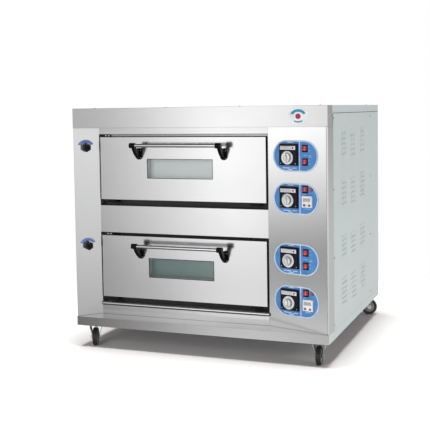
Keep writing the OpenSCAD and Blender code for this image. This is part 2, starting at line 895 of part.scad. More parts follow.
module pan_screw() {
    cylinder(r1 = 4.6, r2 = 3.4, h = 2.2);
    translate([0, 0, -8]) cylinder(r = 2.5, h = 8.5);
}

// Selection --------------------------------------------------------------

base_frame();
hood();
top_cover();
left_side_panel();
right_side_panel();
back_panel();
left_column();
control_column();
bay_header();
mid_panel();
sill_panel();
chamber_liners();
hearth_stones();
heating_elements();
insulation();
vent_ducts();
hinge_brackets();
control_plates();
controllers();
rocker_frames();
pilot_lamps();
timers();
contactors();
cable_gland();
caster_plates();
screws();
door_skin(upper_door_bottom);  // upper_door_skin
door_liner(upper_door_bottom);  // upper_door_liner
door_glass(upper_door_bottom);  // upper_door_glass
handle_bar(upper_door_bottom);  // upper_handle_bar
handle_brackets(upper_door_bottom);  // upper_handle_brackets
door_skin(lower_door_bottom);  // lower_door_skin
door_liner(lower_door_bottom);  // lower_door_liner
door_glass(lower_door_bottom);  // lower_door_glass
handle_bar(lower_door_bottom);  // lower_handle_bar
handle_brackets(lower_door_bottom);  // lower_handle_brackets
damper_knob(knob_heights[0]);  // damper_knob_upper
damper_knob(knob_heights[1]);  // damper_knob_lower
dial(0);  // dial_1
dial(1);  // dial_2
dial(2);  // dial_3
dial(3);  // dial_4
rocker(0);  // rocker_1
rocker(1);  // rocker_2
rocker(2);  // rocker_3
rocker(3);  // rocker_4
rocker(4);  // rocker_5
rocker(5);  // rocker_6
timer_button(1, 0);  // timer_button_1
timer_button(1, 1);  // timer_button_2
timer_button(3, 0);  // timer_button_3
timer_button(3, 1);  // timer_button_4
caster_fork(0);  // caster_fork_1
caster_fork(1);  // caster_fork_2
caster_fork(2);  // caster_fork_3
caster_fork(3);  // caster_fork_4
caster_wheel(0);  // caster_wheel_1
caster_wheel(1);  // caster_wheel_2
caster_wheel(2);  // caster_wheel_3
caster_wheel(3);  // caster_wheel_4
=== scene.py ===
import json
import math
import bmesh
import bpy
from mathutils import Matrix, Vector


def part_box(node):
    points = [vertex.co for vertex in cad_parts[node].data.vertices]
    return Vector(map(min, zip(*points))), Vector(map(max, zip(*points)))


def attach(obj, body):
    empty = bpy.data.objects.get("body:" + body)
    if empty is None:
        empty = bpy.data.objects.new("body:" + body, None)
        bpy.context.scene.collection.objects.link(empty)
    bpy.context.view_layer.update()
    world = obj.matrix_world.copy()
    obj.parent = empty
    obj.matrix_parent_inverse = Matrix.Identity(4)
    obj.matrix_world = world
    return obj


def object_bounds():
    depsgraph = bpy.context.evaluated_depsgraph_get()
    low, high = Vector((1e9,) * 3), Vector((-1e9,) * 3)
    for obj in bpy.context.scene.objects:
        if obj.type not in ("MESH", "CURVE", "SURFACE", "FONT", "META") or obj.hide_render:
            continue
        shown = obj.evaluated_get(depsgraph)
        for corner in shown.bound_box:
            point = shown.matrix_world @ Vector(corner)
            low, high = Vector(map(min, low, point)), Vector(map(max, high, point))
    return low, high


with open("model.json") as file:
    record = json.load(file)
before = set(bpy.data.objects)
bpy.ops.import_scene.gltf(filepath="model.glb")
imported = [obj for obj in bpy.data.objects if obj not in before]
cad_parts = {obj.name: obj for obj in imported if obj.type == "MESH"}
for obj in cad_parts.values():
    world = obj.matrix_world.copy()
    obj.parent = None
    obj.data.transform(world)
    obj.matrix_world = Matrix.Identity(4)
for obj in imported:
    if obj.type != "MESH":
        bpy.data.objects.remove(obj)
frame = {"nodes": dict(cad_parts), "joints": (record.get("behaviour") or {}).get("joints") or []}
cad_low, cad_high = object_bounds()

scene = bpy.context.scene
nodes = frame["nodes"]

# ---------------------------------------------------------------- camera
CAMERA_PLACE = Vector((1.566, -4.266, 1.139))
YAW, PITCH, ROLL = math.radians(-20.41), math.radians(-3.52), math.radians(-0.78)
FOCAL_MM, SENSOR_MM = 74.24, 36.0
SHIFT_X, SHIFT_Y = -0.0395, -0.12


def make_camera():
    level = math.cos(PITCH)
    forward = Vector((math.sin(YAW) * level, math.cos(YAW) * level, math.sin(PITCH)))
    right = Vector((math.cos(YAW), -math.sin(YAW), 0.0))
    up = right.cross(forward)
    right_rolled = right * math.cos(ROLL) + up * math.sin(ROLL)
    up_rolled = up * math.cos(ROLL) - right * math.sin(ROLL)
    data = bpy.data.cameras.new("camera")
    data.lens = FOCAL_MM
    data.sensor_width = SENSOR_MM
    data.shift_x, data.shift_y = SHIFT_X, SHIFT_Y
    data.clip_end = 60.0
    cam = bpy.data.objects.new("camera", data)
    turn = Matrix((right_rolled, up_rolled, -forward)).transposed().to_4x4()
    cam.matrix_world = Matrix.Translation(CAMERA_PLACE) @ turn
    scene.collection.objects.link(cam)
    scene.camera = cam


make_camera()

# ------------------------------------------------------ frames of reference
# Sizes in millimetres, in the cabinet's corner frame: X from the left side,
# Y back from the front edge, Z up from the underside of the base.
base_low, base_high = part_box("base_frame")
CORNER = Matrix.Translation((base_low.x, base_low.y, base_low.z))
WIDTH, BODY_TOP, FLANGE_LOW = 1250.0, 1045.0, 1010.0
BAY_Y, BAY_RIGHT = 94.0, 949.0
CONTROL_ANGLE = math.atan2(85.0, 296.0)
LEFT_ANGLE = math.radians(45.0)
MM = Matrix.Scale(0.001, 4)
CORNER_MM = CORNER @ MM
CONTROL_MM = (CORNER_MM @ Matrix.Translation((BAY_RIGHT, BAY_Y, 0))
              @ Matrix.Rotation(-CONTROL_ANGLE, 4, "Z"))
LEFT_MM = CORNER_MM @ Matrix.Translation((5.0, 8.0, 0)) @ Matrix.Rotation(LEFT_ANGLE, 4, "Z")
# The control plates, from the top down, and what is set in them. Depths are from the
# face of the column, negative towards the front.
PLATE_Z = (822.0, 632.0, 361.0, 171.0)
PLATE_X, PLATE_WIDTH, PLATE_HEIGHT = 145.5, 232.0, 138.0
PRINT_DEPTH = -0.6
CONTROLLER_X, CONTROLLER_RISE, CONTROLLER_FACE = 112.8, 5.8, -8.8
DIAL_X, DIAL_DROP = 109.0, 7.4
TIMER_X, TIMER_DROP, TIMER_FACE = 206.5, 10.5, -6.8
TIMER_KEY_X, TIMER_KEY_Z = (-13, 13), -15
LAMP_X, LAMP_RISE = 226.7, 44
SWITCH_X, PAIR_RISES, SINGLE_RISE = 196.5, (34.0, -25.5), 43.5
# Two plates have a pair of switches; the others have one, with a timer and a lamp.
PAIR_PLATES, TIMER_PLATES = (0, 2), (1, 3)
SWITCHES = [(plate, rise) for plate in range(len(PLATE_Z))
            for rise in (PAIR_RISES if plate in PAIR_PLATES else (SINGLE_RISE,))]
# Height of each door's foot, and of each damper knob
DECKS = {"upper": 605.5, "lower": 130.5}
KNOBS = {"upper": 858.0, "lower": 383.0}
KNOB_X = 53.0
DOOR_FACE = 86.0


# ---------------------------------------------------------------- materials
class Shader:
    """A Principled material and the noise that varies its colour, gloss and relief."""

    def __init__(self, name, color, roughness, metallic=0.0):
        self.mat = bpy.data.materials.new(name)
        self.mat.use_nodes = True
        self.tree = self.mat.node_tree
        self.bsdf = self.tree.nodes["Principled BSDF"]
        self.bsdf.inputs["Base Color"].default_value = (*color, 1.0)
        self.bsdf.inputs["Roughness"].default_value = roughness
        self.bsdf.inputs["Metallic"].default_value = metallic
        self.coord = self.node("ShaderNodeTexCoord")
        self.color = color

    def node(self, kind, **settings):
        made = self.tree.nodes.new(kind)
        for key, value in settings.items():
            setattr(made, key, value)
        return made

    def link(self, a, b):
        self.tree.links.new(a, b)

    def stretched(self, scale, detail, rough, size=1.0):
        """Noise in the object's own coordinates, scaled on each axis."""
        mapping = self.node("ShaderNodeMapping")
        mapping.inputs["Scale"].default_value = scale
        self.link(self.coord.outputs["Object"], mapping.inputs["Vector"])
        noise = self.node("ShaderNodeTexNoise")
        noise.inputs["Scale"].default_value = size
        noise.inputs["Detail"].default_value = detail
        noise.inputs["Roughness"].default_value = rough
        self.link(mapping.outputs["Vector"], noise.inputs["Vector"])
        return noise.outputs["Fac"]

    def ranged(self, fac, low, high):
        """Spreads the middle of a noise, from 0.3 to 0.7, over the range low to high."""
        ramp = self.node("ShaderNodeMapRange")
        ramp.inputs["From Min"].default_value = 0.3
        ramp.inputs["From Max"].default_value = 0.7
        ramp.inputs["To Min"].default_value = low
        ramp.inputs["To Max"].default_value = high
        self.link(fac, ramp.inputs["Value"])
        return ramp.outputs["Result"]

    def vary_color(self, fac, dark, light):
        mix = self.node("ShaderNodeMix", data_type="RGBA")
        mix.inputs["A"].default_value = (*[c * dark for c in self.color], 1.0)
        mix.inputs["B"].default_value = (*[min(1.0, c * light) for c in self.color], 1.0)
        self.link(self.ranged(fac, 0.0, 1.0), mix.inputs["Factor"])
        self.link(mix.outputs["Result"], self.bsdf.inputs["Base Color"])

    def vary_roughness(self, fac, low, high):
        self.link(self.ranged(fac, low, high), self.bsdf.inputs["Roughness"])

    def bump(self, fac, strength, distance):
        made = self.node("ShaderNodeBump")
        made.inputs["Strength"].default_value = strength
        made.inputs["Distance"].default_value = distance
        self.link(fac, made.inputs["Height"])
        self.link(made.outputs["Normal"], self.bsdf.inputs["Normal"])


def brushed(name, color, grain, low, high):
    """Brushed steel: fine grain, and smears that vary its roughness from low to high."""
    s = Shader(name, color, 0.3, 1.0)
    fine = s.stretched(grain, 4.0, 0.7)
    smear = s.stretched((2.1, 2.3, 2.7), 3.0, 0.5)
    s.vary_color(fine, 0.97, 1.02)
    s.vary_roughness(smear, low, high)
    s.bump(fine, 0.03, 0.0002)
    return s.mat


def painted(name, color, roughness):
    """Sheet metal paint: cloudy in tone, with a fine orange peel and a thin gloss coat."""
    s = Shader(name, color, roughness)
    cloud = s.stretched((1.3, 1.3, 1.3), 3.0, 0.5, 1.5)
    s.vary_color(cloud, 0.97, 1.02)
    peel = s.stretched((900.0, 900.0, 900.0), 2.0, 0.5)
    s.bump(peel, 0.05, 0.0002)
    s.vary_roughness(s.stretched((3.0, 3.0, 3.0), 3.0, 0.6), roughness * 0.85, roughness * 1.15)
    s.bsdf.inputs["Coat Weight"].default_value = 0.15
    s.bsdf.inputs["Coat Roughness"].default_value = 0.2
    return s.mat


def moulded(name, color, roughness, grain=1200.0, strength=0.12, coat=0.0, specular=0.5):
    """Moulded plastic or print: fine grain and a faintly uneven gloss."""
    s = Shader(name, color, roughness)
    cells = s.stretched((grain, grain, grain), 2.0, 0.6)
    s.vary_color(s.stretched((30.0, 30.0, 30.0), 2.0, 0.5), 0.88, 1.12)
    s.vary_roughness(s.stretched((60.0, 60.0, 60.0), 3.0, 0.6), roughness * 0.85, roughness * 1.2)
    s.bump(cells, strength, 0.0001)
    s.bsdf.inputs["Coat Weight"].default_value = coat
    s.bsdf.inputs["Specular IOR Level"].default_value = specular
    return s.mat


def rough_solid(name, color, roughness, scale, strength, metallic=0.0):
    """Mottled, lumpy stuff: stone, wool, enamel or rubber."""
    s = Shader(name, color, roughness, metallic)
    lumps = s.stretched((scale, scale, scale), 6.0, 0.65)
    s.vary_color(lumps, 0.78, 1.18)
    s.vary_roughness(lumps, roughness * 0.8, min(1.0, roughness * 1.15))
    s.bump(lumps, strength, 0.0006)
    return s.mat


def reflection_painted_glass(name, color, clear):
    """Inner pane that lets little light through: its colour is painted reflection, near-white for a
    bright reflection and dark teal for shade.
    """
    roughness = 0.03
    s = Shader(name, color, roughness)
    s.bsdf.inputs["Transmission Weight"].default_value = clear
    s.bsdf.inputs["IOR"].default_value = 1.5
    s.vary_color(s.stretched((6.0, 6.0, 6.0), 2.0, 0.5), 0.97, 1.02)
    s.vary_roughness(s.stretched((40.0, 40.0, 40.0), 3.0, 0.6), roughness, roughness + 0.04)
    return s.mat


STEEL = brushed("steel_brushed", (0.72, 0.72, 0.725), (6.0, 6.0, 900.0), 0.15, 0.19)
# Painted shade: the base tray's steel is a darker copy of the other steel.
TRAY_STEEL_SHADED = brushed("steel_tray", (0.52, 0.52, 0.525), (6.0, 6.0, 900.0), 0.15, 0.19)
# Painted shade: the tray's top is darker still.
TRAY_TOP_SHADED = brushed("steel_tray_top", (0.35, 0.35, 0.355), (6.0, 900.0, 6.0), 0.15, 0.22)
STEEL_UP = brushed("steel_brushed_upright", (0.72, 0.72, 0.725), (900.0, 900.0, 6.0), 0.15, 0.19)
STEEL_DOOR = brushed("steel_door", (0.74, 0.74, 0.745), (6.0, 6.0, 1100.0), 0.15, 0.19)
GALVANISED = brushed("steel_galvanised", (0.62, 0.63, 0.64), (40.0, 40.0, 60.0), 0.35, 0.5)
LINER = brushed("steel_liner", (0.70, 0.72, 0.71), (8.0, 8.0, 500.0), 0.3, 0.42)
SIDE = painted("side_panel_paint", (0.615, 0.70, 0.695), 0.42)
# Painted shade: the cover's top is a darker copy of the side paint, so that it stays below white
# under the top softbox.
COVER_TOP_SHADED = painted("cover_top_shaded_paint", (0.38, 0.435, 0.43), 0.5)
ENAMEL = rough_solid("dark_enamel", (0.035, 0.034, 0.034), 0.55, 60.0, 0.2)
STONE = rough_solid("hearth_stone", (0.42, 0.37, 0.31), 0.9, 90.0, 0.5)
HEATER = rough_solid("heater_sheath", (0.22, 0.2, 0.19), 0.5, 200.0, 0.2, 0.8)
WOOL = rough_solid("mineral_wool", (0.62, 0.55, 0.36), 1.0, 250.0, 0.9)
BLACK = moulded("black_plastic", (0.010, 0.010, 0.012), 0.42, specular=0.16)
BLACK_GLOSS = moulded("black_gloss_plastic", (0.004, 0.004, 0.0045), 0.26, 400.0, 0.04, specular=0.14)
KNOB = moulded("knob_plastic", (0.012, 0.012, 0.014), 0.34, 900.0, 0.15, specular=0.25)
WHITE = moulded("white_plastic", (0.90, 0.91, 0.92), 0.35, 900.0, 0.06)
DIAL_WHITE = moulded("dial_plastic", (0.86, 0.87, 0.88), 0.3, 900.0, 0.05, 0.3)
RED = moulded("red_plastic", (0.40, 0.008, 0.016), 0.25, 600.0, 0.05, 0.2)
BLUE = moulded("plate_blue", (0.07, 0.26, 0.63), 0.34, 700.0, 0.05)
PALE_BLUE = moulded("plate_pale_blue", (0.50, 0.70, 0.95), 0.34, 700.0, 0.04)
SCALE_BLUE = moulded("damper_scale_blue", (0.15, 0.24, 0.62), 0.34, 700.0, 0.04)
TEAL = moulded("emblem_blue", (0.02, 0.30, 0.50), 0.3, 700.0, 0.04)
WINE = moulded("emblem_wine", (0.40, 0.01, 0.10), 0.3, 700.0, 0.04)
# Painted shade on the sides of each dial's raised grip.
GRIP_SIDE_SHADE = moulded("dial_grip_side", (0.10, 0.105, 0.11), 0.35, 900.0, 0.05)
PRINT_WHITE = moulded("print_white", (0.82, 0.86, 0.92), 0.4, 700.0, 0.03)
PRINT_DARK = moulded("print_dark", (0.02, 0.022, 0.03), 0.4, 700.0, 0.03)
SCALE_GREY = moulded("scale_grey", (0.74, 0.75, 0.78), 0.4, 700.0, 0.03)
DISPLAY = moulded("display_grey", (0.62, 0.58, 0.57), 0.15, 300.0, 0.02, 0.3)
DIGITS = moulded("display_digits", (0.07, 0.03, 0.03), 0.3, 300.0, 0.02)
LAMP = moulded("lamp_orange", (0.55, 0.07, 0.02), 0.15, 300.0, 0.05, 0.5)
ELECTRICS = moulded("electrics_grey", (0.12, 0.13, 0.15), 0.5)
# Painted light: the window reveal is near-white to stand for light falling on the recess walls.
REVEAL_LIT = moulded("window_reveal_lit", (0.80, 0.84, 0.83), 0.4, 500.0, 0.03)


def plated(name, color):
    """Polished plating with faint drawing marks along X."""
    s = Shader(name, color, 0.08, 1.0)
    s.vary_roughness(s.stretched((80.0, 900.0, 900.0), 2.0, 0.5), 0.06, 0.14)
    s.vary_color(s.stretched((20.0, 20.0, 20.0), 2.0, 0.5), 0.97, 1.02)
    return s.mat


def pane_material():
    """Clear pane: light passes straight through, and a Fresnel share is mirrored."""
    s = Shader("glass_outer", (0.9, 0.95, 0.94), 0.04)
    s.vary_roughness(s.stretched((40.0, 40.0, 40.0), 3.0, 0.6), 0.03, 0.07)
    through = s.node("ShaderNodeBsdfTransparent")
    through.inputs["Color"].default_value = (0.975, 0.985, 0.985, 1.0)
    share = s.node("ShaderNodeFresnel")
    mix = s.node("ShaderNodeMixShader")
    s.bsdf.inputs["Metallic"].default_value = 1.0
    s.link(share.outputs["Fac"], mix.inputs["Fac"])
    s.link(through.outputs["BSDF"], mix.inputs[1])
    s.link(s.bsdf.outputs["BSDF"], mix.inputs[2])
    s.link(mix.outputs["Shader"], s.tree.nodes["Material Output"].inputs["Surface"])
    return s.mat


GLASS_OUT = pane_material()
# Painted reflection: the upper inner pane is near-white, the lower one and the chamber side of both
# are dark teal.
GLASS_IN_UPPER = reflection_painted_glass("glass_inner_upper", (0.98, 1.0, 1.0), 0.05)
GLASS_IN_LOWER = reflection_painted_glass("glass_inner_lower", (0.205, 0.32, 0.30), 0.1)
TYRE = rough_solid("caster_tread", (0.022, 0.022, 0.023), 0.5, 300.0, 0.15)
HUB = moulded("caster_hub", (0.30, 0.31, 0.32), 0.45)
ZINC = brushed("zinc_bright", (0.58, 0.585, 0.59), (30.0, 30.0, 30.0), 0.22, 0.4)
CHROME = plated("chrome", (0.88, 0.88, 0.89))
SCREW = brushed("screw_steel", (0.7, 0.7, 0.71), (200.0, 200.0, 200.0), 0.2, 0.35)


# ------------------------------------------------------------- CAD surfaces
def paint(node, mat):
    """Gives a whole CAD node one finish."""
    o = nodes[node]
    if not o.data.materials:
        o.data.materials.append(mat)
    for i in range(len(o.data.materials)):
        o.data.materials[i] = mat


def repaint(node, mat, test):
    """Gives a finish to the CAD faces whose middle and direction pass the test."""
    o = nodes[node]
    o.data.materials.append(mat)
    turn = o.matrix_world.to_3x3()
    for p in o.data.polygons:
        if test(o.matrix_world @ p.center, turn @ p.normal):
            p.material_index = len(o.data.materials) - 1


def soften(node, width_mm, smooth):
    """Welds the CAD mesh's split corners and rounds its sharp edges."""
    o = nodes[node]
    if "custom_normal" in o.data.attributes:
        o.data.attributes.remove(o.data.attributes["custom_normal"])
    weld = o.modifiers.new("weld", "WELD")
    weld.merge_threshold = 0.000004
    if not smooth:
        flat = o.modifiers.new("flat", "DECIMATE")
        flat.decimate_type = "DISSOLVE"
        flat.angle_limit = math.radians(0.6)
    bevel = o.modifiers.new("bevel", "BEVEL")
    bevel.width = width_mm / 1000.0
    bevel.segments = 2
    bevel.limit_method = "ANGLE"
    bevel.angle_limit = math.radians(32.0)
    bevel.harden_normals = smooth
    for p in o.data.polygons:
        p.use_smooth = smooth


# Flat sheets keep flat shading; curved parts are smooth
FLAT = (STEEL, STEEL_UP, STEEL_DOOR, TRAY_STEEL_SHADED)
# Each node's material, and how far its edges are rounded in millimetres
FINISH = {
    "base_frame": (TRAY_STEEL_SHADED, 0.7), "hood": (STEEL, 0.7), "left_column": (STEEL_UP, 0.5),
    "control_column": (STEEL_UP, 0.5), "bay_header": (STEEL, 0.5), "mid_panel": (STEEL, 0.7),
    "sill_panel": (STEEL, 0.5), "upper_door_skin": (STEEL_DOOR, 0.7),
    "lower_door_skin": (STEEL_DOOR, 0.7), "upper_door_liner": (LINER, 0.3),
    "lower_door_liner": (LINER, 0.3),
    "top_cover": (SIDE, 0.6), "left_side_panel": (SIDE, 0.25), "right_side_panel": (SIDE, 0.25),
    "back_panel": (SIDE, 0.3), "chamber_liners": (ENAMEL, 0.5), "hearth_stones": (STONE, 1.5),
    "heating_elements": (HEATER, 0.2), "insulation": (WOOL, 3.0), "vent_ducts": (GALVANISED, 0.3),
    "hinge_brackets": (BLACK, 0.4), "control_plates": (BLUE, 0.2), "controllers": (BLACK, 0.6),
    "rocker_frames": (BLACK_GLOSS, 0.4), "pilot_lamps": (LAMP, 0.5), "timers": (WHITE, 0.6),
    "contactors": (ELECTRICS, 1.0), "cable_gland": (BLACK, 0.6), "caster_plates": (ZINC, 0.4),
    "screws": (SCREW, 0.3), "upper_handle_bar": (CHROME, 0.6), "lower_handle_bar": (CHROME, 0.6),
    "upper_handle_brackets": (BLACK_GLOSS, 0.6), "lower_handle_brackets": (BLACK_GLOSS, 0.6),
    "damper_knob_upper": (KNOB, 1.2), "damper_knob_lower": (KNOB, 1.2),
}
for i in range(1, 5):
    FINISH["dial_%d" % i] = (DIAL_WHITE, 0.6)
    FINISH["timer_button_%d" % i] = (BLACK, 0.5)
    FINISH["caster_fork_%d" % i] = (ZINC, 0.4)
    FINISH["caster_wheel_%d" % i] = (TYRE, 0.5)
for i in range(1, 7):
    FINISH["rocker_%d" % i] = (RED, 0.6)
for name, (mat, width_mm) in FINISH.items():
    paint(name, mat)
    soften(name, width_mm, smooth=mat not in FLAT)


def paint_door(deck, inner):
    """Two panes in one node, tinted with painted reflection, dark hinge straps below the door and a
    window reveal painted pale as painted light.
    """
    panes = nodes[deck + "_door_glass"].data
    panes.materials.clear()
    for mat in (GLASS_OUT, inner, GLASS_IN_LOWER):
        panes.materials.append(mat)
    ys = [v.co.y for v in panes.vertices]
    half = (min(ys) + max(ys)) / 2
    for p in panes.polygons:
        p.material_index = 0 if p.center.y <= half else 2 if p.normal.y > 0.5 else 1
    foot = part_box(deck + "_door_skin")[0].z
    low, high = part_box(deck + "_door_glass")
    repaint(deck + "_door_liner", BLACK, lambda spot, facing: spot.z < foot - 0.0001)
    # Painted light on the reveal walls round the window.
    repaint(deck + "_door_liner", REVEAL_LIT, lambda spot, facing: (
        low.x < spot.x < high.x and low.z < spot.z < high.z
        and abs(facing.y) < 0.5 and spot.y < high.y))


def paint_dial_grip_shade(dial, plate_z):
    """The sides of a dial's raised grip are painted dark grey as painted shade."""
    grip_radius = 0.021
    centre = CONTROL_MM @ Vector((DIAL_X, 0.0, plate_z - DIAL_DROP))
    axis = (CONTROL_MM.to_3x3() @ Vector((0, 1, 0))).normalized()

    def on_grip(spot, facing):
        offset = spot - centre
        out = offset - axis * offset.dot(axis)
        return out.length < grip_radius and abs(facing.dot(axis)) < 0.6

    repaint(dial, GRIP_SIDE_SHADE, on_grip)


def paint_fork_shade(joint):
    """The hollow of a caster fork is painted black as painted shade; its outside keeps the bright
    zinc.
    """
    axle, hub = Vector(joint["axis"]), Vector(joint["pos_m"])
    crown_height, crown_half_width = 0.03, 0.0275

    def in_shaded_hollow(spot, facing):
        aside = (spot - hub).dot(axle)
        inward = facing.dot(axle) * aside < -0.3 * abs(aside)
        under = facing.z < -0.8 and (spot - hub).z > crown_height
        return inward or (under and abs(aside) < crown_half_width)

    repaint("caster_fork_" + joint["name"][-1], BLACK, in_shaded_hollow)


def on_side_wall(spot, facing):
    """True for the outer face of the base tray's left or right wall."""
    outermost = spot.x < base_low.x + 0.0005 or spot.x > base_high.x - 0.0005
    return abs(facing.x) > 0.9 and outermost


def facing_up(spot, facing):
    return facing.z > 0.9


ROLL_JOINTS = [joint for joint in frame["joints"] if joint["name"].startswith("caster_roll_")]
paint_door("upper", GLASS_IN_UPPER)
paint_door("lower", GLASS_IN_LOWER)
# Painted shade on the cover's upward faces.
repaint("top_cover", COVER_TOP_SHADED, facing_up)
for i, z in enumerate(PLATE_Z):
    paint_dial_grip_shade("dial_%d" % (i + 1), z)
# Painted shade in the hollow of each caster fork.
for joint in ROLL_JOINTS:
    paint_fork_shade(joint)
repaint("base_frame", SIDE, on_side_wall)
# Painted shade on the tray's upward faces.
repaint("base_frame", TRAY_TOP_SHADED, facing_up)


# ------------------------------------------------------------- mesh helpers
def finish_piece(bm, name, mats, body, bevel_mm=0.0, smooth=False, *, slot):
    """Turns a bmesh into a piece that rides on a body; a rounded piece is smooth as well."""
    bmesh.ops.recalc_face_normals(bm, faces=bm.faces)
    mesh = bpy.data.meshes.new(name)
    bm.to_mesh(mesh)
    bm.free()
    o = bpy.data.objects.new(name, mesh)
    scene.collection.objects.link(o)
    for mat in mats:
        mesh.materials.append(mat)
    for p in mesh.polygons:
        p.use_smooth = smooth or bevel_mm > 0
    if bevel_mm:
        bevel = o.modifiers.new("bevel", "BEVEL")
        bevel.width = bevel_mm / 1000.0
        bevel.segments = 2
        bevel.limit_method = "ANGLE"
        bevel.angle_limit = math.radians(35.0)
        bevel.harden_normals = True
    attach(o, body)


def add_slab(bm, place, outline, y0, y1, index=0):
    """Extrudes an outline of (x, z) points from depth y0 to y1 of a frame."""
    front = [bm.verts.new(place @ Vector((x, y0, z))) for x, z in outline]
    back = [bm.verts.new(place @ Vector((x, y1, z))) for x, z in outline]
    faces = [bm.faces.new(front), bm.faces.new(list(reversed(back)))]
    n = len(outline)
    for i in range(n):
        j = (i + 1) % n
        faces.append(bm.faces.new((front[i], back[i], back[j], front[j])))
    for f in faces:
        f.material_index = index


def add_band(bm, place, outer, inner, y0, y1, index=0):
    """A closed band between two loops of the same count, from depth y0 to y1."""
    loops = []
    for outline, y in ((outer, y0), (inner, y0), (inner, y1), (outer, y1)):
        loops.append([bm.verts.new(place @ Vector((x, y, z))) for x, z in outline])
    n = len(outer)
    for a, b in ((0, 1), (1, 2), (2, 3), (3, 0)):
        for i in range(n):
            j = (i + 1) % n
            f = bm.faces.new((loops[a][i], loops[a][j], loops[b][j], loops[b][i]))
            f.material_index = index


def rect(cx, cz, w, h):
    """Corners of a rectangle round a centre, as (x, z) points; so too for the next two."""
    x0, x1, z0, z1 = cx - w / 2, cx + w / 2, cz - h / 2, cz + h / 2
    return [(x0, z0), (x1, z0), (x1, z1), (x0, z1)]


def round_rect(cx, cz, w, h, r, steps=6):
    points = []
    for qx, qz, start in ((1, -1, -90), (1, 1, 0), (-1, 1, 90), (-1, -1, 180)):
        x, z = cx + qx * (w / 2 - r), cz + qz * (h / 2 - r)
        for k in range(steps + 1):
            a = math.radians(start + 90.0 * k / steps)
            points.append((x + r * math.cos(a), z + r * math.sin(a)))
    return points


def circle(cx, cz, r, count=48):
    turns = [2 * math.pi * k / count for k in range(count)]
    return [(cx + r * math.cos(a), cz + r * math.sin(a)) for a in turns]


def turned(bm, place, profile, count=48, index=0):
    """Revolves (radius, depth) points about the frame's Y axis."""
    turns = [2 * math.pi * k / count for k in range(count)]
    rings = []
    for r, y in profile:
        on_axis = r < 1e-6
        spots = [(0, y, 0)] if on_axis else [(r * math.cos(a), y, r * math.sin(a)) for a in turns]
        rings.append([bm.verts.new(place @ Vector(spot)) for spot in spots])
    for a, b in zip(rings, rings[1:]):
        for k in range(count):
            j = (k + 1) % count
            if len(a) == 1:
                f = bm.faces.new((a[0], b[j], b[k]))
            elif len(b) == 1:
                f = bm.faces.new((a[k], a[j], b[0]))
            else:
                f = bm.faces.new((a[k], a[j], b[j], b[k]))
            f.material_index = index


def at(place, x=0.0, y=0.0, z=0.0, spin=0.0):
    """A frame moved within another one and turned by some degrees about its own Y axis."""
    return place @ Matrix.Translation((x, y, z)) @ Matrix.Rotation(math.radians(spin), 4, "Y")


def facing_back(x, y, z=0.0):
    """A place on the cabinet that looks to the rear."""
    return CORNER_MM @ Matrix.Translation((x, y, z)) @ Matrix.Rotation(math.pi, 4, "Z")


# ------------------------------------------------------------- small pieces
def screw_head(bm, place, r, h):
    """Pan head with a cross recess, its underside at depth 0, facing -Y."""
    dome = [(0, -h), (r * 0.45, -h * 0.97), (r * 0.8, -h * 0.75), (r, -h * 0.25), (r, 0.1), (0, 0.1)]
    turned(bm, place, dome, 24)
    for spin in (0, 90):
        add_slab(bm, at(place, spin=spin), rect(0, 0, r * 1.1, r * 0.26), -h - 0.05, -h * 0.8, 1)


def control_plate_print():
    """Pale border, divider line and neutral legend bars of the four printed plates."""
    for i, z in enumerate(PLATE_Z):
        bm = bmesh.new()

        def loop(inset):
            w, h = PLATE_WIDTH - 2 * inset, PLATE_HEIGHT - 2 * inset
            return round_rect(PLATE_X, z, w, h, PLATE_HEIGHT / 2 - inset - 0.01, 24)

        def bar(x, dz, w, h, front, index):
            add_slab(bm, CONTROL_MM, rect(x, z + dz, w, h), front, PRINT_DEPTH, index)

        add_band(bm, CONTROL_MM, loop(-1.2), loop(2.6), -1.15, PRINT_DEPTH, 0)
        add_band(bm, CONTROL_MM, loop(2.7), loop(4.6), -1.05, PRINT_DEPTH, 1)
        bar(168.5, 0.0, 3.2, PLATE_HEIGHT - 9.0, -1.1, 1)
        for x, dz, width in ((120, 60.5, 30), (100, -53.5, 40), (141, -53.5, 22), (118, -60.0, 26)):
            bar(x, dz, width, 3.0, -1.0, 1)
        if i in PAIR_PLATES:
            marks = ((222, 3, 12, 2.2), (222, -3, 18, 2.2), (SWITCH_X, 4, 20, 1.8))
        else:
            marks = ((206, -42, 30, 2.0), (190, 22, 16, 1.8))
        for x, dz, width, height in marks:
            bar(x, dz, width, height, -1.0, 0)
        if i in PAIR_PLATES:
            for rise in PAIR_RISES:
                for side in (8, -8):
                    dot = circle(218, z + rise + side, 1.6, 16)
                    add_slab(bm, CONTROL_MM, dot, -1.0, PRINT_DEPTH, 1)
        finish_piece(bm, "plate_print_%d" % (i + 1), [PALE_BLUE, PRINT_WHITE], "cabinet",
                     slot="plate_print")


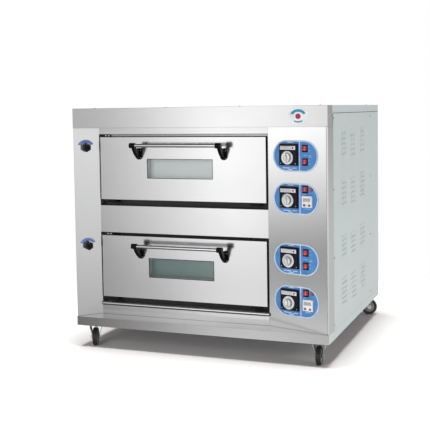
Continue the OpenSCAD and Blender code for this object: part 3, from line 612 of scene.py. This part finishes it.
def controller_faces():
    """Bezel rim, scale window with ticks, lower screws and dial well ring of each controller."""
    front = CONTROLLER_FACE
    for i, z in enumerate(PLATE_Z):
        cx, cz = CONTROLLER_X, z + CONTROLLER_RISE
        bm = bmesh.new()
        add_band(bm, CONTROL_MM, round_rect(cx, cz, 92, 92, 4), round_rect(cx, cz, 87, 87, 3),
                 front - 0.7, front + 0.3, 0)
        sx, sz = 110.3, z + 36
        add_slab(bm, CONTROL_MM, rect(sx, sz, 80, 16.6), front + 0.35, front + 0.75, 1)
        for k in range(9):
            tall = 6.5 if k % 2 == 0 else 4.0
            tick = rect(sx - 34 + k * 6.2, sz - 4 + tall / 2, 1.3, tall)
            add_slab(bm, CONTROL_MM, tick, front + 0.15, front + 0.5, 2)
        add_slab(bm, CONTROL_MM, rect(sx - 9, sz + 5.6, 52, 1.0), front + 0.15, front + 0.5, 2)
        add_slab(bm, CONTROL_MM, circle(sx + 27, sz, 4.2, 24), front + 0.1, front + 0.5, 2)
        finish_piece(bm, "controller_face_%d" % (i + 1), [BLACK_GLOSS, SCALE_GREY, PRINT_DARK],
                     "cabinet", slot="black_plastic")
        bm = bmesh.new()
        for dx in (-39.0, 39.0):
            screw_head(bm, at(CONTROL_MM, cx + dx, front - 1.1, cz - 39, 20), 2.7, 1.0)
        finish_piece(bm, "controller_screws_%d" % (i + 1), [SCREW, PRINT_DARK], "cabinet",
                     slot="zinc")
        bm = bmesh.new()
        dial_z = z - DIAL_DROP
        add_band(bm, CONTROL_MM, circle(DIAL_X, dial_z, 33.0), circle(DIAL_X, dial_z, 30.6),
                 front - 1.2, front + 0.2)
        finish_piece(bm, "dial_ring_%d" % (i + 1), [BLACK_GLOSS], "cabinet", 0.3,
                     slot="black_plastic")


def noughts(bm, place, count, cx, cz, h, y0, y1, index):
    """A row of noughts, each drawn as the six outer bars of a segment display."""
    w, t = h * 0.5, h * 0.13
    bars = ((0, h / 2, True), (w / 2, h / 4, False), (w / 2, -h / 4, False),
            (0, -h / 2, True), (-w / 2, -h / 4, False), (-w / 2, h / 4, False))
    step = w + t + h * 0.3
    x = cx - step * (count - 1) / 2
    for _ in range(count):
        for dx, dz, flat in bars:
            shape = rect(x + dx, cz + dz, w * 0.82 if flat else t, t if flat else h / 2 * 0.82)
            add_slab(bm, place, shape, y0, y1, index)
        x += step


def dial_details():
    """Tick ring, pointer line, bright rim and grip flutes that turn with each dial."""
    front = CONTROLLER_FACE
    tick_end = 28.8
    for i, z in enumerate(PLATE_Z):
        body = "dial_%d" % (i + 1)
        place = at(CONTROL_MM, DIAL_X, 0.0, z - DIAL_DROP)
        bm = bmesh.new()
        for k in range(31):
            start, width = (24.6, 0.9) if k % 5 == 0 else (26.2, 0.5)
            tick = rect(0, (start + tick_end) / 2, width, tick_end - start)
            add_slab(bm, at(place, spin=-150.0 + 10.0 * k), tick, front - 3.15, front - 2.7, 0)
        add_slab(bm, place, rect(0, 11.5, 2.0, 10.0), front - 14.9, front - 14.3, 0)
        rim = [(17.0, front - 13.2), (18.4, front - 13.2), (18.4, front - 12.6),
               (17.0, front - 12.6), (17.0, front - 13.2)]
        turned(bm, place, rim, 48, 1)
        finish_piece(bm, "dial_marks_%d" % (i + 1), [PRINT_DARK, CHROME], body,
                     slot="black_plastic")
        bm = bmesh.new()
        for k in range(24):
            flute = [(-1.0, 19.6), (1.0, 19.6), (0.7, 21.6), (-0.7, 21.6)]
            add_slab(bm, at(place, spin=15.0 * k), flute, front - 11.5, front - 3.2)
        finish_piece(bm, "dial_grip_%d" % (i + 1), [DIAL_WHITE], body, 0.3, slot="white_plastic")


def rocker_marks():
    """The on line and off ring of every rocker, on its two slopes, and the rim round it."""
    slope = math.atan2(1.9, 11.0)
    tilt = Matrix.Rotation(math.radians(-7.0), 4, "X")
    for i, (plate, rise) in enumerate(SWITCHES):
        z = PLATE_Z[plate] + rise
        place = at(CONTROL_MM, SWITCH_X, 2.2, z) @ tilt
        low = place @ Matrix.Translation((0, -8.4, -5.8)) @ Matrix.Rotation(slope, 4, "X")
        high = place @ Matrix.Translation((0, -8.4, 5.8)) @ Matrix.Rotation(-slope, 4, "X")
        bm = bmesh.new()
        add_slab(bm, high, rect(0, 0, 1.3, 5.6), -0.35, 0.3)
        add_band(bm, low, circle(0, 0, 2.9, 24), circle(0, 0, 1.9, 24), -0.35, 0.3)
        finish_piece(bm, "rocker_mark_%d" % (i + 1), [PRINT_WHITE], "rocker_%d" % (i + 1),
                     slot="white_plastic")
        bm = bmesh.new()
        add_band(bm, at(CONTROL_MM, SWITCH_X, 0, z), round_rect(0, 0, 28.4, 32.4, 2.4),
                 round_rect(0, 0, 23.4, 27.2, 1.0), -4.1, -3.2)
        finish_piece(bm, "rocker_rim_%d" % (i + 1), [BLACK_GLOSS], "cabinet", 0.5,
                     slot="black_plastic")


def timer_faces():
    """Display with noughts, frame lines and key dots of each timer, and the lamp over it."""
    front = TIMER_FACE
    for n, i in enumerate(TIMER_PLATES):
        place = at(CONTROL_MM, TIMER_X, 0, PLATE_Z[i] - TIMER_DROP)
        bm = bmesh.new()
        add_slab(bm, place, round_rect(0, 9, 39.4, 16.4, 1.5), front + 0.2, front + 0.9, 0)
        noughts(bm, place, 4, 0, 9, 9.0, front, front + 0.4, 1)
        add_band(bm, place, round_rect(0, 9, 43, 20, 2.2), round_rect(0, 9, 40, 17, 1.2),
                 front - 0.4, front + 0.3, 2)
        for x in TIMER_KEY_X:
            add_band(bm, place, round_rect(x, TIMER_KEY_Z, 14.2, 11.2, 2.2),
                     round_rect(x, TIMER_KEY_Z, 12.0, 9.0, 1.2), front - 0.4, front + 0.3, 2)
        add_slab(bm, place, rect(0, -4.5, 30, 1.2), front - 0.15, front + 0.3, 3)
        finish_piece(bm, "timer_face_%d" % (n + 1), [DISPLAY, DIGITS, WHITE, SCALE_GREY],
                     "cabinet", slot="white_plastic")
        for k, x in enumerate(TIMER_KEY_X):
            key = 2 * n + k + 1
            bm = bmesh.new()
            add_slab(bm, place, circle(x, TIMER_KEY_Z, 1.5, 16), front - 1.35, front - 1.1)
            finish_piece(bm, "timer_key_dot_%d" % key, [PRINT_WHITE], "timer_button_%d" % key,
                         slot="white_plastic")
        lamp = at(CONTROL_MM, LAMP_X, 0, PLATE_Z[i] + LAMP_RISE)
        bm = bmesh.new()
        ring = [(5.6, -2.7), (7.6, -2.7), (8.4, -1.9), (8.4, -0.6), (5.6, -0.6), (5.6, -2.7)]
        turned(bm, lamp, ring, 40)
        finish_piece(bm, "lamp_ring_%d" % (n + 1), [BLACK_GLOSS], "cabinet", smooth=True,
                     slot="black_plastic")
        bm = bmesh.new()
        dome = [(0, -7.4), (2.2, -7.1), (4.0, -6.3), (5.0, -5.4), (5.3, -4.4), (5.3, -2.0), (0, -2.0)]
        turned(bm, lamp, dome, 32)
        finish_piece(bm, "lamp_dome_%d" % (n + 1), [LAMP], "cabinet", smooth=True, slot="lamp")


def damper_scales():
    """Crescent scale with ticks behind each damper knob, and the knob's pointer and cap."""
    for n, (deck, z) in enumerate(KNOBS.items()):
        body = "damper_knob_" + deck
        place = at(LEFT_MM, KNOB_X, 0, z)
        bm = bmesh.new()
        outer, inner = [], []
        for k in range(25):
            a = math.radians(22.0 + 136.0 * k / 24)
            outer.append((41.0 * math.cos(a), 37.0 * math.sin(a)))
            inner.append((25.0 * math.cos(a), 5.0 + 17.0 * math.sin(a)))
        shape = outer + list(reversed(inner))
        bottom = [bm.verts.new(place @ Vector((x, -0.05, rise))) for x, rise in shape]
        top = [bm.verts.new(place @ Vector((x, -0.55, rise))) for x, rise in shape]
        last = len(shape) - 1
        for loops in (bottom, top):
            for k in range(len(outer) - 1):
                bm.faces.new((loops[k], loops[k + 1], loops[last - 1 - k], loops[last - k]))
        for k in range(len(shape)):
            j = (k + 1) % len(shape)
            bm.faces.new((bottom[k], bottom[j], top[j], top[k]))
        for k in range(7):
            tick = at(place, spin=54.0 - 18.0 * k)
            add_slab(bm, tick, rect(0, 32.5, 1.4, 4.6), -0.75, -0.3, 1)
        finish_piece(bm, "damper_scale_%d" % (n + 1), [SCALE_BLUE, PRINT_WHITE], "cabinet",
                     slot="plate_print")
        bm = bmesh.new()
        add_slab(bm, place, rect(0, 15.6, 1.8, 4.0), -27.5, -26.7)
        finish_piece(bm, "damper_pointer_%d" % (n + 1), [PRINT_WHITE], body, slot="white_plastic")
        bm = bmesh.new()
        cap = [(0, -29.6), (6, -29.5), (9.5, -29.0), (11.0, -28.2), (11.0, -27.0), (0, -27.0)]
        turned(bm, place, cap, 32)
        finish_piece(bm, "damper_cap_%d" % (n + 1), [BLACK_GLOSS], body, smooth=True,
                     slot="black_plastic")


def door_details():
    """Window seal, bracket screws, liner screws and gasket of each door."""
    for deck, foot in DECKS.items():
        body = deck + "_door"
        cx, cz = 515.0, foot + 150.25
        bm = bmesh.new()
        add_band(bm, CORNER_MM, round_rect(cx, cz, 334.6, 93.1, 0.6, 3),
                 round_rect(cx, cz, 330.6, 89.1, 0.6, 3), DOOR_FACE - 0.3, DOOR_FACE + 1.7)
        finish_piece(bm, deck + "_window_seal", [BLACK], body, slot="black_plastic")
        bm = bmesh.new()
        for x in (308.0, 739.0):
            for dx, dz in ((9.0, 237.0), (9.0, 203.0), (-10.0, 240.0)):
                head = at(CORNER_MM, x + dx, DOOR_FACE - 5.9, foot + dz, 15 * dx)
                screw_head(bm, head, 3.0, 1.8)
        finish_piece(bm, deck + "_bracket_screws", [SCREW, PRINT_DARK], body, slot="zinc")
        bm = bmesh.new()
        for x in (130.0, 325.0, 520.0, 715.0, 910.0):
            for dz in (14.0, 286.0):
                screw_head(bm, facing_back(x, 131.0, foot + dz), 3.6, 1.8)
        finish_piece(bm, deck + "_liner_screws", [SCREW, PRINT_DARK], body, slot="zinc")
        bm = bmesh.new()
        add_band(bm, CORNER_MM, round_rect(520, foot + 150, 826, 262, 14),
                 round_rect(520, foot + 150, 808, 244, 8), 131.15, 133.7)
        finish_piece(bm, deck + "_door_gasket", [BLACK], "cabinet", 0.8, slot="black_plastic")


def emblem():
    """A plain oval plate on the hood."""
    place = at(CORNER_MM, 1119.0, 0, 1000.0)
    bm = bmesh.new()

    def arc(a, b, start, end):
        turns = [math.radians(start + (end - start) * k / 32) for k in range(33)]
        return [(a * math.cos(t), b * math.sin(t)) for t in turns]

    add_slab(bm, place, arc(45, 36, 0, 360)[:-1], -1.2, 0.1, 0)
    for start, end, width in ((20, 160, 12.0), (236, 304, 6.0)):
        outer, inner = arc(36, 29, start, end), arc(36 - width, 29 - width, start, end)
        for k in range(32):
            add_slab(bm, place, [outer[k], outer[k + 1], inner[k + 1], inner[k]], -1.5, -1.0, 1)
    add_slab(bm, place, circle(0, -2, 12.0), -1.5, -1.0, 2)
    finish_piece(bm, "emblem_plate", [WHITE, TEAL, WINE], "cabinet", slot="white_plastic")


def bay_details():
    """Latch plate over the left end of each door, and a black strip under the cover's flange that is
    painted shade in the gap.
    """
    for deck, foot in DECKS.items():
        bm = bmesh.new()
        add_slab(bm, CORNER_MM, rect(126.0, foot + 307.2, 62.0, 10.0), BAY_Y - 5.0, BAY_Y + 0.1, 0)
        for x in (130.0, 146.0):
            add_slab(bm, CORNER_MM, rect(x, foot + 307.4, 7.0, 5.0), BAY_Y - 5.9, BAY_Y - 4.9, 1)
        finish_piece(bm, deck + "_latch_plate", [BLACK, CHROME], "cabinet", 0.4,
                     slot="black_plastic")
    # Painted shade: a thin black strip stands for the shade in the gap under the cover's flange.
    bm = bmesh.new()
    low, high = FLANGE_LOW - 1.6, FLANGE_LOW + 0.6
    for x, outward in ((0.0, -1.0), (WIDTH, 1.0)):
        turn = Matrix.Rotation(outward * math.pi / 2, 4, "Z")
        side = CORNER_MM @ Matrix.Translation((x, 0, 0)) @ turn
        a, b = sorted((outward * 100.0, outward * 1109.0))
        add_slab(bm, side, [(a, low), (b, low), (b, high), (a, high)], -0.45, 0.2)
    finish_piece(bm, "flange_shade_strip", [BLACK], "cabinet", slot="black_plastic")


def cover_screws():
    """Screws of the top cover and of the rear panel."""
    bm = bmesh.new()
    top = CORNER_MM @ Matrix.Translation((0, 0, BODY_TOP)) @ Matrix.Rotation(-math.pi / 2, 4, "X")
    for x in (60, 440, 810, 1190):
        for y in (110, 1085):
            screw_head(bm, top @ Matrix.Translation((x, 0, y)), 4.2, 2.2)
    finish_piece(bm, "top_cover_screws", [SCREW, PRINT_DARK], "cabinet", slot="zinc")
    bm = bmesh.new()
    rear = facing_back(WIDTH, 1085.5)
    for x in (40, 430, 820, 1210):
        for z in (70, 520, 980):
            screw_head(bm, rear @ Matrix.Translation((x, 0, z)), 4.2, 2.2)
    finish_piece(bm, "rear_screws", [SCREW, PRINT_DARK], "cabinet", slot="zinc")


def caster_details():
    """Spoked hub discs that roll with each wheel."""
    disc = [(12.4, -8.8), (28.2, -8.8), (28.4, -9.6), (27.4, -10.2), (13.2, -10.2), (12.3, -9.6),
            (12.4, -8.8)]
    spoke = [(-2.0, 13.5), (2.0, 13.5), (3.6, 27.0), (-3.6, 27.0)]
    for joint in ROLL_JOINTS:
        n = joint["name"][-1]
        centre = Vector(joint["pos_m"])
        axle = Vector(joint["axis"])
        spin = math.atan2(axle.y, axle.x)
        near = Matrix.Translation(centre) @ Matrix.Rotation(spin + math.pi / 2, 4, "Z") @ MM
        far = near @ Matrix.Rotation(math.pi, 4, "Z")
        bm = bmesh.new()
        for face in (near, far):
            turned(bm, face, disc)
            for k in range(6):
                add_slab(bm, at(face, spin=60.0 * k), spoke, -10.9, -9.8)
        finish_piece(bm, "caster_hub_%s" % n, [HUB], "caster_wheel_" + n, 0.4, slot="wheel")


control_plate_print()
controller_faces()
dial_details()
rocker_marks()
timer_faces()
damper_scales()
door_details()
emblem()
bay_details()
cover_screws()
caster_details()


# ------------------------------------------------------------ floor, lights
# Metres from the middle of the oven between which the floor fades
FADE_START, FADE_END = 0.9, 1.9


def make_floor():
    """A pale floor that mirror rays pass through, so that the steel shows the studio only."""
    bm = bmesh.new()
    for x, y in ((-14, -9), (14, -9), (14, 16), (-14, 16)):
        bm.verts.new((x, y, cad_low.z))
    bm.faces.new(bm.verts)
    mesh = bpy.data.meshes.new("floor")
    bm.to_mesh(mesh)
    bm.free()
    floor = bpy.data.objects.new("floor", mesh)
    scene.collection.objects.link(floor)
    s = Shader("floor_white", (0.98, 0.97, 0.965), 0.9)
    s.vary_color(s.stretched((0.6, 0.6, 0.6), 2.0, 0.5), 0.99, 1.01)
    s.bsdf.inputs["Specular IOR Level"].default_value = 0.0
    # The floor fades into the white surround away from the oven
    away = s.node("ShaderNodeVectorMath", operation="LENGTH")
    s.link(s.coord.outputs["Object"], away.inputs[0])
    fade = s.node("ShaderNodeMapRange", interpolation_type="SMOOTHSTEP")
    fade.inputs["From Min"].default_value = FADE_START
    fade.inputs["From Max"].default_value = FADE_END
    s.link(away.outputs["Value"], fade.inputs["Value"])
    white = s.node("ShaderNodeEmission")
    blend = s.node("ShaderNodeMixShader")
    s.link(fade.outputs["Result"], blend.inputs["Fac"])
    s.link(s.bsdf.outputs["BSDF"], blend.inputs[1])
    s.link(white.outputs["Emission"], blend.inputs[2])
    path = s.node("ShaderNodeLightPath")
    clear = s.node("ShaderNodeBsdfTransparent")
    mix = s.node("ShaderNodeMixShader")
    s.link(path.outputs["Is Glossy Ray"], mix.inputs["Fac"])
    s.link(blend.outputs["Shader"], mix.inputs[1])
    s.link(clear.outputs["BSDF"], mix.inputs[2])
    s.link(mix.outputs["Shader"], s.tree.nodes["Material Output"].inputs["Surface"])
    mesh.materials.append(s.mat)


def area_light(name, place, target, width, height, watts):
    """A softbox that lights matt surfaces; the steel's sheen comes from the studio walls."""
    data = bpy.data.lights.new(name, "AREA")
    data.shape = "RECTANGLE"
    data.size, data.size_y = width, height
    data.energy = watts
    o = bpy.data.objects.new(name, data)
    o.location = place
    o.rotation_mode = "QUATERNION"
    o.rotation_quaternion = (Vector(target) - Vector(place)).to_track_quat("-Z", "Y")
    o.visible_glossy = False
    scene.collection.objects.link(o)


# The walls' colours are halved and their light doubled, so that no colour is over 1
WALL_STRENGTH = 2.0
# Strength of the plain room that rays other than mirror and camera rays see
ROOM_LIGHT = 0.22
# Brightness of the studio walls by compass angle, in degrees from straight ahead of
# the oven, right positive.
WALLS = ((-180, 0.52), (-135, 0.60), (-110, 0.95), (-75, 1.05), (-50, 1.72), (-40, 1.0),
         (-31, 0.39), (-26, 0.84), (-21, 1.66), (-16, 1.10), (-10, 0.76), (10, 0.76),
         (45, 0.90), (60, 1.06), (90, 1.05), (125, 0.95), (150, 0.70), (180, 0.52))
# How that brightness falls off below the horizon and towards the dark ceiling: the
# upward part of the direction, then the share left at each angle of FALL_COMPASS.
FALL_COMPASS = (-44, -34, -18, 20, 50, 130)
FALL = ((-1.0, 0.10, 0.10, 0.10, 0.10, 0.10, 0.10), (-0.62, 0.12, 0.12, 0.12, 0.12, 0.12, 0.12),
        (-0.46, 0.55, 0.55, 0.55, 0.55, 0.50, 0.60), (-0.30, 0.72, 0.50, 1.0, 0.95, 0.48, 1.0),
        (-0.25, 0.60, 0.28, 0.90, 1.0, 0.40, 1.0), (-0.205, 0.18, 0.22, 0.56, 0.80, 0.42, 1.0),
        (-0.16, 0.12, 0.66, 0.88, 0.88, 0.76, 1.0), (-0.10, 0.58, 0.91, 0.96, 0.97, 0.76, 0.95),
        (-0.05, 0.90, 0.90, 0.98, 0.98, 0.96, 0.80), (0.0, 1.0, 1.0, 1.0, 1.0, 1.0, 0.68),
        (0.10, 0.92, 1.0, 0.98, 0.94, 1.0, 0.68),
        (0.17, 1.0, 1.3, 1.3, 1.3, 1.2, 0.68), (0.34, 0.9, 1.2, 1.2, 1.2, 1.1, 0.60),
        (0.42, 0.10, 0.10, 0.10, 0.10, 0.10, 0.10),
        (1.0, 0.12, 0.12, 0.12, 0.12, 0.12, 0.12))


def make_world():
    """Mirror rays see graded walls, camera rays plain white and all others a dim room."""
    world = bpy.data.worlds.new("studio")
    world.cycles.sampling_method = "NONE"
    scene.world = world
    world.use_nodes = True
    tree = world.node_tree
    tree.nodes.clear()
    link = tree.links.new

    def node(kind, **settings):
        made = tree.nodes.new(kind)
        for key, value in settings.items():
            setattr(made, key, value)
        return made

    def set_stop(ramp, position, level):
        """Sets one grey stop; the stops at both ends are there from the start."""
        ends = {0.0: ramp.elements[0], 1.0: ramp.elements[-1]}
        stop = ends[position] if position in ends else ramp.elements.new(position)
        stop.color = (level, level, level, 1.0)

    out = node("ShaderNodeOutputWorld")
    coord = node("ShaderNodeTexCoord")
    split = node("ShaderNodeSeparateXYZ")
    link(coord.outputs["Generated"], split.inputs["Vector"])
    ahead = node("ShaderNodeMath", operation="MULTIPLY")
    ahead.inputs[1].default_value = -1.0
    link(split.outputs["Y"], ahead.inputs[0])
    compass = node("ShaderNodeMath", operation="ARCTAN2")
    link(split.outputs["X"], compass.inputs[0])
    link(ahead.outputs[0], compass.inputs[1])
    turn = node("ShaderNodeMapRange")
    turn.inputs["From Min"].default_value = -math.pi
    turn.inputs["From Max"].default_value = math.pi
    link(compass.outputs[0], turn.inputs["Value"])
    around = node("ShaderNodeValToRGB")
    around.color_ramp.interpolation = "EASE"
    for angle, level in WALLS:
        set_stop(around.color_ramp, (angle + 180.0) / 360.0, level / WALL_STRENGTH)
    link(turn.outputs["Result"], around.inputs["Fac"])
    bottom, top = FALL[0][0], FALL[-1][0]
    height = node("ShaderNodeMapRange")
    height.inputs["From Min"].default_value = bottom
    height.inputs["From Max"].default_value = top
    link(split.outputs["Z"], height.inputs["Value"])
    share = None
    for column, angle in enumerate(FALL_COMPASS):
        fall = node("ShaderNodeValToRGB")
        for row in FALL:
            set_stop(fall.color_ramp, (row[0] - bottom) / (top - bottom), row[column + 1])
        link(height.outputs["Result"], fall.inputs["Fac"])
        if share is None:
            share = fall.outputs["Color"]
            continue
        across = node("ShaderNodeMapRange")
        across.inputs["From Min"].default_value = math.radians(FALL_COMPASS[column - 1])
        across.inputs["From Max"].default_value = math.radians(angle)
        link(compass.outputs[0], across.inputs["Value"])
        fade = node("ShaderNodeMix", data_type="RGBA")
        link(across.outputs["Result"], fade.inputs["Factor"])
        link(share, fade.inputs["A"])
        link(fall.outputs["Color"], fade.inputs["B"])
        share = fade.outputs["Result"]
    lit = node("ShaderNodeMix", data_type="RGBA", blend_type="MULTIPLY")
    lit.inputs["Factor"].default_value = 1.0
    link(around.outputs["Color"], lit.inputs["A"])
    link(share, lit.inputs["B"])
    walls = node("ShaderNodeBackground")
    walls.inputs["Strength"].default_value = WALL_STRENGTH
    link(lit.outputs["Result"], walls.inputs["Color"])
    room = node("ShaderNodeBackground")
    room.inputs["Color"].default_value = (0.92, 0.80, 0.78, 1.0)
    room.inputs["Strength"].default_value = ROOM_LIGHT
    plain = node("ShaderNodeBackground")
    plain.inputs["Color"].default_value = (1.0, 1.0, 1.0, 1.0)
    path = node("ShaderNodeLightPath")
    sheen = node("ShaderNodeMixShader")
    link(path.outputs["Is Glossy Ray"], sheen.inputs["Fac"])
    link(room.outputs["Background"], sheen.inputs[1])
    link(walls.outputs["Background"], sheen.inputs[2])
    mix = node("ShaderNodeMixShader")
    link(path.outputs["Is Camera Ray"], mix.inputs["Fac"])
    link(sheen.outputs["Shader"], mix.inputs[1])
    link(plain.outputs["Background"], mix.inputs[2])
    link(mix.outputs["Shader"], out.inputs["Surface"])


make_floor()
make_world()
area_light("front_softbox", (-0.9, -5.2, 2.2), (0.1, 0.0, 0.6), 2.6, 2.6, 62)
area_light("top_softbox", (0.0, -0.3, 9.0), (0.0, -0.1, 0.0), 4.8, 4.0, 1060)
area_light("right_fill", (5.0, -0.8, 1.8), (0.4, 0.0, 0.6), 2.6, 2.6, 47)

scene.view_settings.view_transform = "Standard"
scene.view_settings.look = "None"
